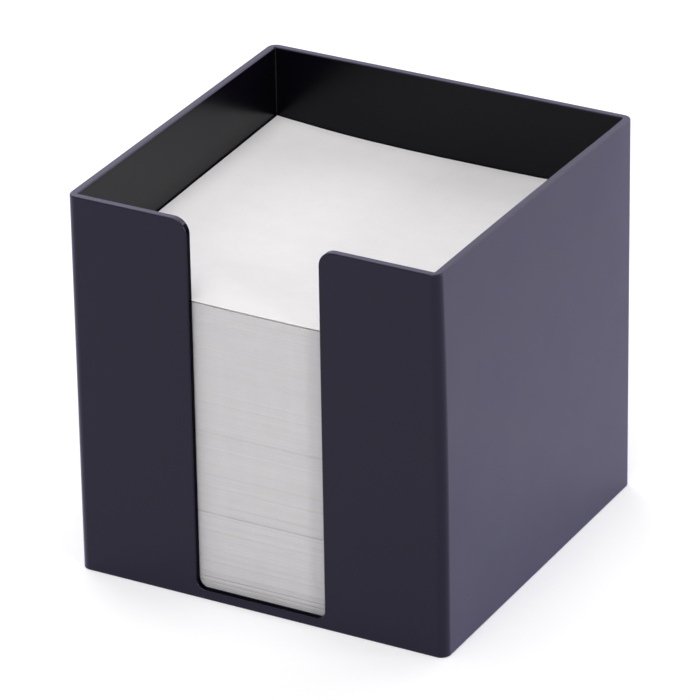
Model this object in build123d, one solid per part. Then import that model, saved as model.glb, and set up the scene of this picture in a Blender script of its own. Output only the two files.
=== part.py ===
from build123d import *
import os

# Memo box: an open cube with a thumb slot, holding a stack of loose note sheets.
# Millimetres. The origin is the middle of the underside, +Z is up, and the slot faces -Y.

# Note sheets
SHEET_WIDTH = 95.0
SHEET_DEPTH = 95.0
SHEET_THICKNESS = 0.1
LOOSE_SHEETS = 10
PACKETS = 15
SHEETS_PER_PACKET = 50

# How the stack stands in the box
GAP_FRONT = 0.6
GAP_BACK = 0.4
GAP_LEFT = 0.4
GAP_RIGHT = 0.6
HEADROOM = 22.0

# Air between the sheets, which lifts the back of each packet more than its front
PACKET_BACK_RISE = 0.1

# Curl of the top sheets along their left and right edges
LEFT_CURL_RISE = 2.1
LEFT_CURL_REACH = 50.0
RIGHT_CURL_RISE = 0.7
FLAT_MIDDLE = 5.0
CURL_POWER = 2.2
CURL_DEPTH_POWER = 3.0
CURL_AT_FRONT = 0.55
FACETS_PER_CURL = 5

# Box
WALL = 2.0
FLOOR = 1.5
FOOT_HEIGHT = 0.5
FOOT_WIDTH = 3.0
CORNER_RADIUS = 2.5
INNER_CORNER_RADIUS = 0.3
EDGE_RADIUS = 0.35

# Thumb slot in the front wall
SLOT_WIDTH = 35.0
SLOT_TOP_RADIUS = 4.0
SLOT_BOTTOM_RADIUS = 2.5
SILL_LIP = 0.4

# Sizes that follow
CAVITY_WIDTH = GAP_LEFT + SHEET_WIDTH + GAP_RIGHT
CAVITY_DEPTH = GAP_FRONT + SHEET_DEPTH + GAP_BACK
BOX_WIDTH = CAVITY_WIDTH + 2 * WALL
BOX_DEPTH = CAVITY_DEPTH + 2 * WALL
FLOOR_TOP = FOOT_HEIGHT + FLOOR
SILL_TOP = FLOOR_TOP + SILL_LIP
PACKET_HEIGHT = SHEETS_PER_PACKET * SHEET_THICKNESS
PACKETS_TOP = FLOOR_TOP + PACKETS * PACKET_HEIGHT
STACK_TOP = PACKETS_TOP + LOOSE_SHEETS * SHEET_THICKNESS
BOX_HEIGHT = STACK_TOP + HEADROOM
RIGHT_CURL_REACH = SHEET_WIDTH - LEFT_CURL_REACH - FLAT_MIDDLE
STACK_LEFT = GAP_LEFT - CAVITY_WIDTH / 2
STACK_RIGHT = STACK_LEFT + SHEET_WIDTH
STACK_FRONT = GAP_FRONT - CAVITY_DEPTH / 2
STACK_BACK = STACK_FRONT + SHEET_DEPTH


def slot_outline():
    """The slot seen from the front: rounded into the rim above and the sill below."""
    half = SLOT_WIDTH / 2
    top = BOX_HEIGHT
    above = BOX_HEIGHT + WALL
    with BuildSketch(Plane.XZ) as outline:
        with BuildLine():
            sill = Line((0, SILL_TOP), (half - SLOT_BOTTOM_RADIUS, SILL_TOP))
            low = RadiusArc(sill @ 1, (half, SILL_TOP + SLOT_BOTTOM_RADIUS), -SLOT_BOTTOM_RADIUS)
            jamb = Line(low @ 1, (half, top - SLOT_TOP_RADIUS))
            high = RadiusArc(jamb @ 1, (half + SLOT_TOP_RADIUS, top), SLOT_TOP_RADIUS)
            Polyline(high @ 1, (half + SLOT_TOP_RADIUS, above), (0, above))
            mirror(about=Plane.YZ)
        make_face()
    return outline.sketch


def is_edge_round(edge):
    """True for the edges of the rim, the slot and the underside, which are softened."""
    box = edge.bounding_box()
    at_rim = box.min.Z > BOX_HEIGHT - EDGE_RADIUS
    at_base = box.max.Z < EDGE_RADIUS
    wide = SLOT_WIDTH / 2 + SLOT_TOP_RADIUS
    slack = EDGE_RADIUS / 10
    in_front = box.max.Y < WALL + slack - BOX_DEPTH / 2
    on_a_face = box.max.Y - box.min.Y < slack
    near_slot = max(abs(box.min.X), abs(box.max.X)) < wide + slack
    at_slot = in_front and on_a_face and near_slot and box.min.Z > SILL_TOP - slack
    return at_rim or at_base or at_slot


def make_box():
    """The one-piece moulding: four walls, a floor on a low foot rim, and the slot."""
    outside = extrude(RectangleRounded(BOX_WIDTH, BOX_DEPTH, CORNER_RADIUS), BOX_HEIGHT)
    inside = extrude(RectangleRounded(CAVITY_WIDTH, CAVITY_DEPTH, INNER_CORNER_RADIUS), BOX_HEIGHT)
    recess = extrude(
        RectangleRounded(BOX_WIDTH - 2 * FOOT_WIDTH, BOX_DEPTH - 2 * FOOT_WIDTH, INNER_CORNER_RADIUS),
        FOOT_HEIGHT,
    )
    slot = Pos(0, WALL / 2 - CAVITY_DEPTH / 2, 0) * extrude(slot_outline(), 2 * WALL)
    shell = outside - Pos(0, 0, FLOOR_TOP) * inside - recess - slot
    return fillet(shell.edges().filter_by(is_edge_round), EDGE_RADIUS)


def curl_height(x, share):
    """How far a sheet stands above its flat middle at x, for a share of the full curl."""
    from_left = (LEFT_CURL_REACH - (x - STACK_LEFT)) / LEFT_CURL_REACH
    from_right = (RIGHT_CURL_REACH - (STACK_RIGHT - x)) / RIGHT_CURL_REACH
    left = LEFT_CURL_RISE * max(from_left, 0.0) ** CURL_POWER
    right = RIGHT_CURL_RISE * max(from_right, 0.0) ** CURL_POWER
    return share * (left + right)


def sheet_places():
    """The x places where a sheet's facets meet, from its left edge to its right edge."""
    left = [STACK_LEFT + LEFT_CURL_REACH * i / FACETS_PER_CURL for i in range(FACETS_PER_CURL + 1)]
    right = [STACK_RIGHT - RIGHT_CURL_REACH * i / FACETS_PER_CURL for i in range(FACETS_PER_CURL + 1)]
    return left + right[::-1]


def level(packets_below, sheets_below=0):
    """The front and back lines of the surface that lies on so many packets and loose sheets."""
    share = (packets_below / PACKETS) ** CURL_DEPTH_POWER
    front = FLOOR_TOP + packets_below * PACKET_HEIGHT + sheets_below * SHEET_THICKNESS
    back = front + packets_below * PACKET_BACK_RISE
    places = sheet_places()
    front_line = [Vector(x, STACK_FRONT, front + curl_height(x, share * CURL_AT_FRONT)) for x in places]
    back_line = [Vector(x, STACK_BACK, back + curl_height(x, share)) for x in places]
    return front_line, back_line


def between(lower, upper):
    """The solid of flat faces between two levels."""
    low_front, low_back = lower
    top_front, top_back = upper
    rings = [
        low_front + top_front[::-1],
        low_back + top_back[::-1],
        [low_front[0], top_front[0], top_back[0], low_back[0]],
        [low_front[-1], top_front[-1], top_back[-1], low_back[-1]],
    ]
    for front, back in (lower, upper):
        for i in range(len(front) - 1):
            rings.append([front[i], front[i + 1], back[i + 1]])
            rings.append([front[i], back[i + 1], back[i]])
    faces = [Face(Wire.make_polygon(ring, close=True)) for ring in rings]
    return Solid(Shell(faces))


def make_packet(index):
    """One packet of sheets, counted from 0 at the floor."""
    return between(level(index), level(index + 1))


def make_sheet(index):
    """One loose sheet, counted from 0 on the top packet."""
    return between(level(PACKETS, index), level(PACKETS, index + 1))


def make_parts():
    """Every piece by its name."""
    parts = {"box": make_box()}
    for index in range(PACKETS):
        parts[f"packet_{index + 1:02d}"] = make_packet(index)
    for index in range(LOOSE_SHEETS):
        parts[f"sheet_{index + 1:02d}"] = make_sheet(index)
    return parts


os.makedirs("parts", exist_ok=True)
for name, shape in make_parts().items():
    export_step(shape, f"parts/{name}.step")
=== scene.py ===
import math
import random

import bmesh
import bpy
from mathutils import Matrix, Vector
from mathutils.noise import noise as smooth_noise


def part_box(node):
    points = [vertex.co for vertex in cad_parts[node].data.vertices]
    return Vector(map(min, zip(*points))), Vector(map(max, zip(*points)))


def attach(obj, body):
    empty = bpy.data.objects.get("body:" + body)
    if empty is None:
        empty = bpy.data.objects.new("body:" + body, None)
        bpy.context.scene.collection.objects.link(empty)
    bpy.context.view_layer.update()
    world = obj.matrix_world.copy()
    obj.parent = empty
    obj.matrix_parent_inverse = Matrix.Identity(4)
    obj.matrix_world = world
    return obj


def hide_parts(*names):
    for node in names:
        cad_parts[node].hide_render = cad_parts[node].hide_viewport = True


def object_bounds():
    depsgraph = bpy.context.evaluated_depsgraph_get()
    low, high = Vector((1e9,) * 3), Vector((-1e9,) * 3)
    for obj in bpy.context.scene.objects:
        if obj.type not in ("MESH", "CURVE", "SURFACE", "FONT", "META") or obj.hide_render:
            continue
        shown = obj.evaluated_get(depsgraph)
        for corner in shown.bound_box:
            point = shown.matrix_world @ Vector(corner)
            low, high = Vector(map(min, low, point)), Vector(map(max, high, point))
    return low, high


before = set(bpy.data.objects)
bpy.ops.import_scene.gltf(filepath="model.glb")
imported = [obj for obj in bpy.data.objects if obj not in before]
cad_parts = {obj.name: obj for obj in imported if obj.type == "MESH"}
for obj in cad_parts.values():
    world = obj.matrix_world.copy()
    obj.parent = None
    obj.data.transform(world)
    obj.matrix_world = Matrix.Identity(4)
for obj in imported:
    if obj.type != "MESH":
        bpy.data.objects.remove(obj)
cad_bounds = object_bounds()

MM = 0.001

# Points nearer than this are one point, and edges sharper than this stay sharp
WELD = 0.0005 * MM
SHARP = math.radians(40.0)

# Camera, as fitted to the photograph
CAMERA_PLACE = Vector((0.58597, -1.07269, 0.66012))
CAMERA_AIM = Vector((-0.00141, -0.00077, 0.04809))
CAMERA_ROLL = math.radians(-0.929)
CAMERA_LENS = 290.08
CAMERA_SENSOR = 36.0

# How the sheets curl, as in the CAD model
LEFT_CURL_RISE = 2.1 * MM
LEFT_CURL_REACH = 50.0 * MM
RIGHT_CURL_RISE = 0.7 * MM
RIGHT_CURL_REACH = 40.0 * MM
CURL_POWER = 2.2
CURL_DEPTH_POWER = 3.0
CURL_AT_FRONT = 0.55
SHEETS_PER_PACKET = 50

# The finishes of the box, in the order of its materials: the outside, the inside with painted shade and the
# slot with painted shadow
OUTSIDE = 0
CAVITY = 1
SLOT = 2

# Where they meet
CAVITY_HALF = 48.01 * MM
SLOT_HALF = 17.55 * MM
SHOULDER_HALF = 21.4 * MM
FLOOR_TOP = 1.9 * MM

# A face crosses the front wall if the Y of its normal is less than this, and is steep if its Z is
CROSSING = 0.1
STEEP = 0.7

# The moulding's warp: towards the rim, its near right corner leans in over the stack
CORNER_LEAN = 1.25 * MM
LEAN_FROM_X = 17.5 * MM
LEAN_FULL_X = 48.0 * MM
LEAN_FULL_Y = -48.0 * MM
LEAN_TO_Y = 40.0 * MM
LEAN_DEPTH_POWER = 1.8
LEAN_HEIGHT_POWER = 3.0
RIM_HEIGHT = cad_bounds[1].z
BEND_STEP = 8.0 * MM

# How much the shading of a rounding follows the large faces beside it, of at most 100
LARGE_FACES_FIRST = 100

# The thin sheets of the stack, and how far they lie out of line
SHEET_PAPER = 0.088 * MM
TOP_GRID = 44
PACKET_COLUMNS = 16
SHEET_SHIFT = 0.026 * MM
LARGEST_SHIFT = 0.1 * MM
SHEET_TURN = math.radians(0.015)
TONE_SPREAD = 0.019
PACKET_SEED = 1000
SHEET_SEED = 2000

# How loosely the packets lie, from the bottom one to the top one
LOOSE_BELOW = 1.1
LOOSE_ABOVE = 0.7

# Sheets that lie back from the rest, which draws a dark line across the front of the stack:
# those of each packet as first, last and how far back, and likewise those of the loose ones
PACKET_RECESSES = {0: ((17, 19, 0.3 * MM), (29, 31, 0.3 * MM)), 4: ((3, 5, 0.3 * MM),)}
LOOSE_RECESSES = ((5, 8, 0.6 * MM),)

# Undulation of the loose sheets, full on the top one
WAVE_HEIGHT = 0.09 * MM
WAVE_LENGTH = 26.0 * MM

# The stack, as the CAD model has it
packet_names = sorted(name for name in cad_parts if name.startswith("packet_"))
sheet_names = sorted(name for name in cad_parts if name.startswith("sheet_"))
first_low, first_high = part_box(packet_names[0])
top_low, top_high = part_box(sheet_names[0])
STACK_LEFT = first_low.x
STACK_RIGHT = first_high.x
STACK_FRONT = first_low.y
STACK_BACK = first_high.y
STACK_FLOOR = first_low.z
PACKETS_TOP = top_low.z
PACKET_HEIGHT = (PACKETS_TOP - STACK_FLOOR) / len(packet_names)
SHEET_PITCH = PACKET_HEIGHT / SHEETS_PER_PACKET

# How much higher the back of the stack stands than its front, but for the curl
TOP_BACK_RISE = top_high.z - top_low.z - SHEET_PITCH - LEFT_CURL_RISE


def new_object(name, data):
    """An object in the scene."""
    thing = bpy.data.objects.new(name, data)
    bpy.context.scene.collection.objects.link(thing)
    return thing


def make_camera():
    """The camera of the photograph."""
    data = bpy.data.cameras.new("camera")
    data.lens = CAMERA_LENS
    data.sensor_width = CAMERA_SENSOR
    camera = new_object("camera", data)
    look = (CAMERA_AIM - CAMERA_PLACE).to_track_quat("-Z", "Y").to_matrix().to_4x4()
    camera.matrix_world = Matrix.Translation(CAMERA_PLACE) @ look @ Matrix.Rotation(CAMERA_ROLL, 4, "Z")
    bpy.context.scene.camera = camera


def new_material(name):
    """A material with an empty node tree, its nodes and its links."""
    material = bpy.data.materials.new(name)
    material.use_nodes = True
    nodes = material.node_tree.nodes
    nodes.clear()
    return material, nodes, material.node_tree.links


def show(nodes, links, shader):
    """Makes the shader the surface of its material."""
    out = nodes.new("ShaderNodeOutputMaterial")
    links.new(shader.outputs[0], out.inputs["Surface"])


# What a noise texture mostly stays between
NOISE_LOW = 0.3
NOISE_HIGH = 0.7


def noise(nodes, links, coordinates, scale, detail=2.0, roughness=0.5):
    """A noise texture over object coordinates."""
    texture = nodes.new("ShaderNodeTexNoise")
    texture.inputs["Scale"].default_value = scale
    texture.inputs["Detail"].default_value = detail
    texture.inputs["Roughness"].default_value = roughness
    links.new(coordinates, texture.inputs["Vector"])
    return texture.outputs["Fac"]


def map_range(nodes, links, value, low, high, to_low, to_high):
    """value carried from one range to another."""
    node = nodes.new("ShaderNodeMapRange")
    node.inputs["From Min"].default_value = low
    node.inputs["From Max"].default_value = high
    node.inputs["To Min"].default_value = to_low
    node.inputs["To Max"].default_value = to_high
    links.new(value, node.inputs["Value"])
    return node.outputs[0]


def multiply(nodes, links, first, second):
    """The product of two values."""
    node = nodes.new("ShaderNodeMath")
    node.operation = "MULTIPLY"
    links.new(first, node.inputs[0])
    links.new(second, node.inputs[1])
    return node.outputs[0]


def bump(nodes, links, height, distance, before=None):
    """A bump of that distance, over another if one is given."""
    node = nodes.new("ShaderNodeBump")
    node.inputs["Distance"].default_value = distance
    links.new(height, node.inputs["Height"])
    if before is not None:
        links.new(before, node.inputs["Normal"])
    return node.outputs["Normal"]


def background_ray(nodes, links):
    """1 for the rays that see the backdrop itself: camera, glossy and transmission rays."""
    path = nodes.new("ShaderNodeLightPath")
    first = nodes.new("ShaderNodeMath")
    first.operation = "MAXIMUM"
    links.new(path.outputs["Is Camera Ray"], first.inputs[0])
    links.new(path.outputs["Is Glossy Ray"], first.inputs[1])
    second = nodes.new("ShaderNodeMath")
    second.operation = "MAXIMUM"
    links.new(first.outputs[0], second.inputs[0])
    links.new(path.outputs["Is Transmission Ray"], second.inputs[1])
    return second.outputs[0]


FLOOR_COLOUR = (0.76, 0.76, 0.767, 1.0)
FLOOR_GLOW = 0.32
FLOOR_HALF = 6.0
FLOOR_DEPTH = 0.01 * MM

# The floor's own glow grows with the distance, so that no far edge of it shows
GLOW_FROM = 0.5
GLOW_TO = 3.0
FAR_GLOW = 0.9


def make_floor():
    """A pale floor that looks white, keeps the object's shadow and is clear from below."""
    material, nodes, links = new_material("floor")
    paint = nodes.new("ShaderNodeBsdfDiffuse")
    paint.inputs["Color"].default_value = FLOOR_COLOUR
    glow = nodes.new("ShaderNodeEmission")
    glow.inputs["Color"].default_value = (1.0, 1.0, 1.0, 1.0)
    geometry = nodes.new("ShaderNodeNewGeometry")
    distance = nodes.new("ShaderNodeVectorMath")
    distance.operation = "LENGTH"
    links.new(geometry.outputs["Position"], distance.inputs[0])
    strength = map_range(nodes, links, distance.outputs["Value"], GLOW_FROM, GLOW_TO, FLOOR_GLOW, FAR_GLOW)
    strength = multiply(nodes, links, strength, background_ray(nodes, links))
    links.new(strength, glow.inputs["Strength"])
    both = nodes.new("ShaderNodeAddShader")
    links.new(paint.outputs[0], both.inputs[0])
    links.new(glow.outputs[0], both.inputs[1])
    sides = nodes.new("ShaderNodeMixShader")
    links.new(geometry.outputs["Backfacing"], sides.inputs[0])
    links.new(both.outputs[0], sides.inputs[1])
    links.new(nodes.new("ShaderNodeBsdfTransparent").outputs[0], sides.inputs[2])
    show(nodes, links, sides)
    signs = ((-1, -1), (1, -1), (1, 1), (-1, 1))
    corners = [(x * FLOOR_HALF, y * FLOOR_HALF, -FLOOR_DEPTH) for x, y in signs]
    mesh = bpy.data.meshes.new("floor")
    mesh.from_pydata(corners, [], [(0, 1, 2, 3)])
    mesh.materials.append(material)
    new_object("floor", mesh)


AMBIENT = 0.05


def make_world():
    """An even, dim surround that shows as white."""
    world = bpy.data.worlds.new("studio")
    world.use_nodes = True
    bpy.context.scene.world = world
    nodes = world.node_tree.nodes
    links = world.node_tree.links
    nodes.clear()
    back = nodes.new("ShaderNodeBackground")
    back.inputs["Color"].default_value = (1.0, 1.0, 1.0, 1.0)
    strength = map_range(nodes, links, background_ray(nodes, links), 0.0, 1.0, AMBIENT, 1.0)
    links.new(strength, back.inputs["Strength"])
    out = nodes.new("ShaderNodeOutputWorld")
    links.new(back.outputs[0], out.inputs["Surface"])


# White lights, so far off that a lifted sheet comes no nearer to them: the direction each shines from,
# how wide it looks in degrees and its strength
LIGHTS = (
    ("key", (-0.05, -0.07, 1.0), 35.0, 1.26),
    ("key_front", (0.1, -0.6, 1.0), 30.0, 0.84),
    ("front", (0.66, -1.24, 0.4), 24.0, 0.3),
    ("right", (1.5, 0.55, 0.28), 20.0, 1.05),
    ("behind", (-0.1, 1.2, 0.84), 38.0, 0.41),
    ("left", (-0.9, 0.7, 0.74), 37.0, 0.93),
    ("edge", (1.17, -0.585, 0.5), 6.5, 0.55),
    ("kicker", (0.45, 0.85, 0.2), 42.0, 1.1),
)


def make_lights():
    """Wide lights overhead, low ones round the front and right, and soft ones behind."""
    for name, direction, width, strength in LIGHTS:
        data = bpy.data.lights.new(name, "SUN")
        data.angle = math.radians(width)
        data.energy = strength
        lamp = new_object(name, data)
        lamp.matrix_world = Vector(direction).to_track_quat("Z", "Y").to_matrix().to_4x4()


# The plastic outside, and darker copies of it that paint shade inside the box and shadow in the slot
PLASTIC_COLOUR = (0.0038, 0.0016, 0.0145)
# A darker copy of the plastic colour, which paints the shade inside the box and in the slot
INSIDE_PAINTED_SHADE_COLOUR = (0.0012, 0.0008, 0.0026)
PLASTIC_ROUGHNESS = 0.32
INSIDE_ROUGHNESS = 0.24
PLASTIC_SPECULAR = 0.25
INSIDE_SPECULAR = 0.17
# Nearly no reflection, which paints the shadow on the slot's jambs and sill
SLOT_PAINTED_SHADOW_SPECULAR = 0.012
PLASTIC_HAZE = 0.42
PLASTIC_HAZE_TINT = (0.4, 0.32, 1.0, 1.0)
PLASTIC_HAZE_ROUGHNESS = 0.38

# Its fine grain, the slight waviness of the moulding and its cloudiness, in tone and in gloss
GRAIN_SCALE = 2600.0
GRAIN_HEIGHT = 0.004 * MM
WAVINESS_SCALE = 34.0
WAVINESS_HEIGHT = 0.012 * MM
CLOUD_SCALE = 60.0
CLOUD_TONE = 0.07
CLOUD_GLOSS = 0.03


def plastic_material(name, colour, roughness, specular, haze=0.0):
    """Dark moulded plastic with a fine satin grain, and a violet haze where it has one."""
    material, nodes, links = new_material(name)
    place = nodes.new("ShaderNodeTexCoord").outputs["Object"]
    shader = nodes.new("ShaderNodeBsdfPrincipled")
    shader.inputs["Specular IOR Level"].default_value = specular
    shader.inputs["Sheen Weight"].default_value = haze
    shader.inputs["Sheen Tint"].default_value = PLASTIC_HAZE_TINT
    shader.inputs["Sheen Roughness"].default_value = PLASTIC_HAZE_ROUGHNESS
    grain = noise(nodes, links, place, GRAIN_SCALE, roughness=0.6)
    waviness = noise(nodes, links, place, WAVINESS_SCALE, roughness=0.4)
    cloud = noise(nodes, links, place, CLOUD_SCALE, detail=4.0, roughness=0.55)

    # The inputs 6 and 7 and the output 2 are those for colours
    mix = nodes.new("ShaderNodeMix")
    mix.data_type = "RGBA"
    mix.inputs[6].default_value = tuple((1.0 - CLOUD_TONE) * part for part in colour) + (1.0,)
    mix.inputs[7].default_value = tuple((1.0 + CLOUD_TONE) * part for part in colour) + (1.0,)
    links.new(cloud, mix.inputs[0])
    links.new(mix.outputs[2], shader.inputs["Base Color"])

    smoothest = roughness - CLOUD_GLOSS
    roughest = roughness + CLOUD_GLOSS
    gloss = map_range(nodes, links, cloud, NOISE_LOW, NOISE_HIGH, smoothest, roughest)
    links.new(gloss, shader.inputs["Roughness"])
    soft = bump(nodes, links, waviness, WAVINESS_HEIGHT)
    links.new(bump(nodes, links, grain, GRAIN_HEIGHT, soft), shader.inputs["Normal"])
    show(nodes, links, shader)
    return material


PAPER_COLOUR = (0.835, 0.818, 0.828)
PAPER_SPECULAR = 0.25
PAPER_ROUGHNESS = 0.85

# Its fibres, and how evenly they lie
FIBRE_SCALE = 1400.0
FIBRE_HEIGHT = 0.006 * MM
FORMATION_SCALE = 190.0
FORMATION_DARKEST = 0.985
FORMATION_LIGHTEST = 1.01

# Faint upright marks of the knife that cut the stack
KNIFE_SCALE = 900.0
KNIFE_STRETCH = (1.0, 1.0, 0.01)
KNIFE_MARKS = 0.006


def paper_material():
    """White uncoated paper, with a tone of its own for each sheet."""
    material, nodes, links = new_material("note_paper")
    place = nodes.new("ShaderNodeTexCoord").outputs["Object"]
    shader = nodes.new("ShaderNodeBsdfPrincipled")
    shader.inputs["Specular IOR Level"].default_value = PAPER_SPECULAR
    shader.inputs["Roughness"].default_value = PAPER_ROUGHNESS
    tone = nodes.new("ShaderNodeAttribute")
    tone.attribute_name = "tone"
    fibre = noise(nodes, links, place, FIBRE_SCALE, detail=3.0, roughness=0.6)
    formation = noise(nodes, links, place, FORMATION_SCALE, detail=3.0)
    formation = map_range(
        nodes, links, formation, NOISE_LOW, NOISE_HIGH, FORMATION_DARKEST, FORMATION_LIGHTEST,
    )
    stretch = nodes.new("ShaderNodeMapping")
    stretch.inputs["Scale"].default_value = KNIFE_STRETCH
    links.new(place, stretch.inputs["Vector"])
    knife = noise(nodes, links, stretch.outputs[0], KNIFE_SCALE)
    knife = map_range(nodes, links, knife, NOISE_LOW, NOISE_HIGH, 1.0 - KNIFE_MARKS, 1.0 + KNIFE_MARKS)
    shade = multiply(nodes, links, multiply(nodes, links, formation, knife), tone.outputs["Fac"])
    colour = nodes.new("ShaderNodeVectorMath")
    colour.operation = "SCALE"
    colour.inputs[0].default_value = PAPER_COLOUR
    links.new(shade, colour.inputs["Scale"])
    links.new(colour.outputs[0], shader.inputs["Base Color"])
    links.new(bump(nodes, links, fibre, FIBRE_HEIGHT), shader.inputs["Normal"])
    show(nodes, links, shader)
    return material


def curl_height(x, share):
    """How far a sheet stands above its flat middle at x, for a share of the full curl."""
    from_left = 1.0 - (x - STACK_LEFT) / LEFT_CURL_REACH
    from_right = 1.0 - (STACK_RIGHT - x) / RIGHT_CURL_REACH
    left = LEFT_CURL_RISE * max(from_left, 0.0) ** CURL_POWER
    right = RIGHT_CURL_RISE * max(from_right, 0.0) ** CURL_POWER
    return share * (left + right)


def level_height(x, y, packets_below, sheets_below=0):
    """The height of the surface that lies on so many packets and loose sheets."""
    depth = packets_below / len(packet_names)
    along = (y - STACK_FRONT) / (STACK_BACK - STACK_FRONT)
    front = STACK_FLOOR + packets_below * PACKET_HEIGHT + sheets_below * SHEET_PITCH
    share = depth ** CURL_DEPTH_POWER * (CURL_AT_FRONT + (1.0 - CURL_AT_FRONT) * along)
    return front + depth * TOP_BACK_RISE * along + curl_height(x, share)


def spread(low, high, count):
    """count + 1 places from low to high."""
    return [low + (high - low) * i / count for i in range(count + 1)]


class SheetMesh:
    """Collects thin sheets, each a closed slab with a tone of its own."""

    def __init__(self):
        self.points = []
        self.faces = []
        self.tones = []

    def add(self, columns, rows, height, tone, shift, turn):
        """One sheet over the grid of columns and rows, lying at height(x, y)."""
        start = len(self.points)
        middle_x = (STACK_LEFT + STACK_RIGHT) / 2
        middle_y = (STACK_FRONT + STACK_BACK) / 2
        across = len(columns)
        layer = across * len(rows)
        for lift in (0.0, SHEET_PAPER):
            for y in rows:
                for x in columns:
                    px = x + shift[0] - turn * (y - middle_y)
                    py = y + shift[1] + turn * (x - middle_x)
                    self.points.append((px, py, height(x, y) + lift))
        self.tones += [tone] * (2 * layer)
        for j in range(len(rows) - 1):
            for i in range(across - 1):
                a = start + j * across + i
                quad = (a, a + across, a + across + 1, a + 1)
                self.faces.append(quad)
                self.faces.append(tuple(v + layer for v in reversed(quad)))
        last = (len(rows) - 1) * across
        rim = [start + i for i in range(across)]
        rim += [start + across - 1 + j * across for j in range(1, len(rows))]
        rim += [start + last + i for i in range(across - 2, -1, -1)]
        rim += [start + j * across for j in range(len(rows) - 2, 0, -1)]
        for a, b in zip(rim, rim[1:] + rim[:1]):
            self.faces.append((a, b, b + layer, a + layer))

    def finish(self, name, material):
        """The object made of the sheets so far."""
        mesh = bpy.data.meshes.new(name)
        mesh.from_pydata(self.points, [], self.faces)
        mesh.attributes.new("tone", "FLOAT", "POINT").data.foreach_set("value", self.tones)
        mesh.polygons.foreach_set("use_smooth", [True] * len(mesh.polygons))
        mesh.set_sharp_from_angle(angle=SHARP)
        mesh.materials.append(material)
        return new_object(name, mesh)


def stand_for(piece, node):
    """piece is shown in place of that CAD node and moves with it."""
    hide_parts(node)
    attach(piece, node)


def draw_shift(draw, looseness=1.0):
    """How far a sheet lies out of line, across and in depth: never as far as a wall."""
    shifts = [looseness * draw.gauss(0.0, SHEET_SHIFT) for _ in range(2)]
    return [max(-LARGEST_SHIFT, min(LARGEST_SHIFT, shift)) for shift in shifts]


def front_line(number, recesses):
    """Where the front edge of a sheet lies."""
    return STACK_FRONT + sum(depth for first, last, depth in recesses if first <= number <= last)


def wave_height(x, y):
    """The undulation of the top sheet, which is far gentler than its curl."""
    return WAVE_HEIGHT * smooth_noise(Vector((x, y, 0.0)) / WAVE_LENGTH)


def make_packet(index, node, material):
    """Fifty thin sheets, each a little out of line with the next."""
    draw = random.Random(PACKET_SEED + index)
    sheets = SheetMesh()
    columns = spread(STACK_LEFT, STACK_RIGHT, PACKET_COLUMNS)
    looseness = LOOSE_BELOW + (LOOSE_ABOVE - LOOSE_BELOW) * index / (len(packet_names) - 1)
    for number in range(SHEETS_PER_PACKET):
        level = index + number / SHEETS_PER_PACKET
        rows = [front_line(number, PACKET_RECESSES.get(index, ())), STACK_BACK]
        shift = draw_shift(draw, looseness)
        tone = 1.0 + looseness * draw.gauss(0.0, TONE_SPREAD)
        turn = draw.gauss(0.0, SHEET_TURN)
        sheets.add(columns, rows, lambda x, y, level=level: level_height(x, y, level), tone, shift, turn)
    stand_for(sheets.finish(f"{node}_paper", material), node)


def make_sheet(index, node, material):
    """One loose sheet with its curl."""
    draw = random.Random(SHEET_SEED + index)
    sheets = SheetMesh()
    columns = spread(STACK_LEFT, STACK_RIGHT, TOP_GRID)
    rows = spread(front_line(index, LOOSE_RECESSES), STACK_BACK, TOP_GRID)
    shift = draw_shift(draw)
    turn = draw.gauss(0.0, SHEET_TURN)
    part = (index + 1) / len(sheet_names)

    def height(x, y):
        return level_height(x, y, len(packet_names), index) + part * wave_height(x, y)

    sheets.add(columns, rows, height, 1.0, shift, turn)
    stand_for(sheets.finish(f"{node}_paper", material), node)


def finish_or_painted_shade_of(face):
    """The finish of a face of the box, by where it lies: inside and in the slot it is painted shade."""
    x, y, z = face.calc_center_median()
    if z < FLOOR_TOP:
        return OUTSIDE
    crosses_front = y < -CAVITY_HALF and abs(face.normal.y) < CROSSING
    if crosses_front and (abs(x) < SLOT_HALF or abs(face.normal.z) < STEEP):
        return SLOT if abs(x) < SHOULDER_HALF else OUTSIDE
    return CAVITY if abs(x) < CAVITY_HALF and abs(y) < CAVITY_HALF else OUTSIDE


def share_between(value, low, high):
    """0 up to low, 1 from high on, and even between."""
    return max(0.0, min(1.0, (value - low) / (high - low)))


def corner_lean(place):
    """How far the warp carries a point of the walls to the left."""
    across = share_between(place.x, LEAN_FROM_X, LEAN_FULL_X)
    depth = 1.0 - share_between(place.y, LEAN_FULL_Y, LEAN_TO_Y) ** LEAN_DEPTH_POWER
    height = (place.z / RIM_HEIGHT) ** LEAN_HEIGHT_POWER
    return CORNER_LEAN * across * depth * height


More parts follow.
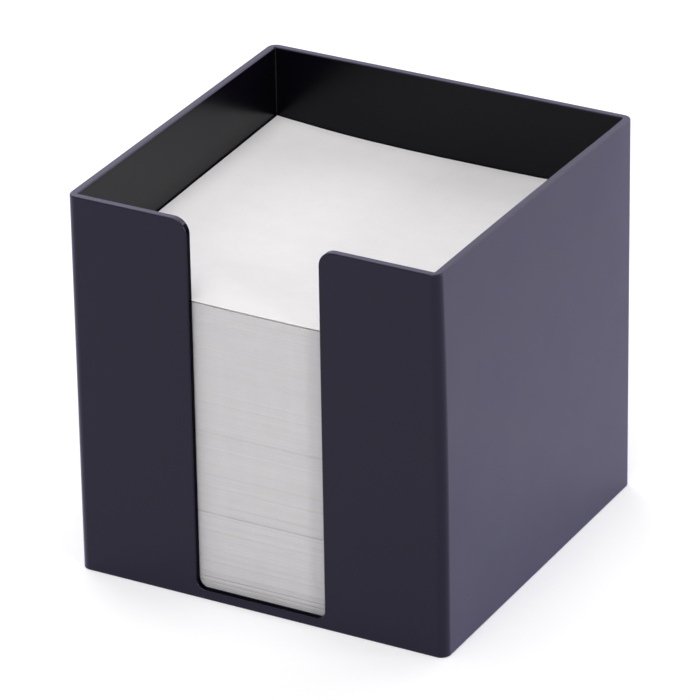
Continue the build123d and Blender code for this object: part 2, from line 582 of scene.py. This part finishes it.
def cut_walls(shape):
    """Cuts the long faces into short ones that can bend. The box is as wide and deep as it is high."""
    steps = int(RIM_HEIGHT / BEND_STEP)
    for i in range(1, steps):
        up = RIM_HEIGHT * i / steps
        across = up - RIM_HEIGHT / 2
        cuts = (
            ((0, 0, up), (0, 0, 1)),
            ((0, across, 0), (0, 1, 0)),
            ((across, 0, 0), (1, 0, 0)),
        )
        for origin, normal in cuts:
            bmesh.ops.bisect_plane(
                shape, geom=shape.verts[:] + shape.edges[:] + shape.faces[:],
                dist=WELD, plane_co=origin, plane_no=normal,
            )


def make_box():
    """The moulding in its CAD shape but for its warp: satin outside, blacker inside as painted shade, and
    blacker and dull in the slot as painted shadow.
    """
    shape = bmesh.new()
    shape.from_mesh(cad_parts["box"].data)
    bmesh.ops.remove_doubles(shape, verts=shape.verts[:], dist=WELD)
    cut_walls(shape)
    shape.normal_update()
    for face in shape.faces:
        face.smooth = True
        face.material_index = finish_or_painted_shade_of(face)
    for point in shape.verts:
        point.co.x -= corner_lean(point.co)
    mesh = bpy.data.meshes.new("box_shell")
    shape.to_mesh(mesh)
    shape.free()
    if "custom_normal" in mesh.attributes:
        mesh.attributes.remove(mesh.attributes["custom_normal"])
    mesh.set_sharp_from_angle(angle=SHARP)
    # The inside and slot copies are darker than the outside plastic: painted shade inside the box, painted
    # shadow in the slot
    box_materials = (
        plastic_material("satin_plastic", PLASTIC_COLOUR, PLASTIC_ROUGHNESS, PLASTIC_SPECULAR, PLASTIC_HAZE),
        plastic_material("plastic_painted_shade_inside", INSIDE_PAINTED_SHADE_COLOUR, INSIDE_ROUGHNESS, INSIDE_SPECULAR),
        plastic_material("plastic_painted_shadow_slot", INSIDE_PAINTED_SHADE_COLOUR, INSIDE_ROUGHNESS, SLOT_PAINTED_SHADOW_SPECULAR),
    )
    for finish in box_materials:
        mesh.materials.append(finish)
    shell = new_object("box_shell", mesh)
    even = shell.modifiers.new("even_shading", "WEIGHTED_NORMAL")
    even.mode = "FACE_AREA"
    even.weight = LARGE_FACES_FIRST
    even.keep_sharp = True
    stand_for(shell, "box")


bpy.context.scene.view_settings.view_transform = "Standard"
make_camera()
make_floor()
make_world()
make_lights()
make_box()
paper = paper_material()
for index, name in enumerate(packet_names):
    make_packet(index, name, paper)
for index, name in enumerate(sheet_names):
    make_sheet(index, name, paper)
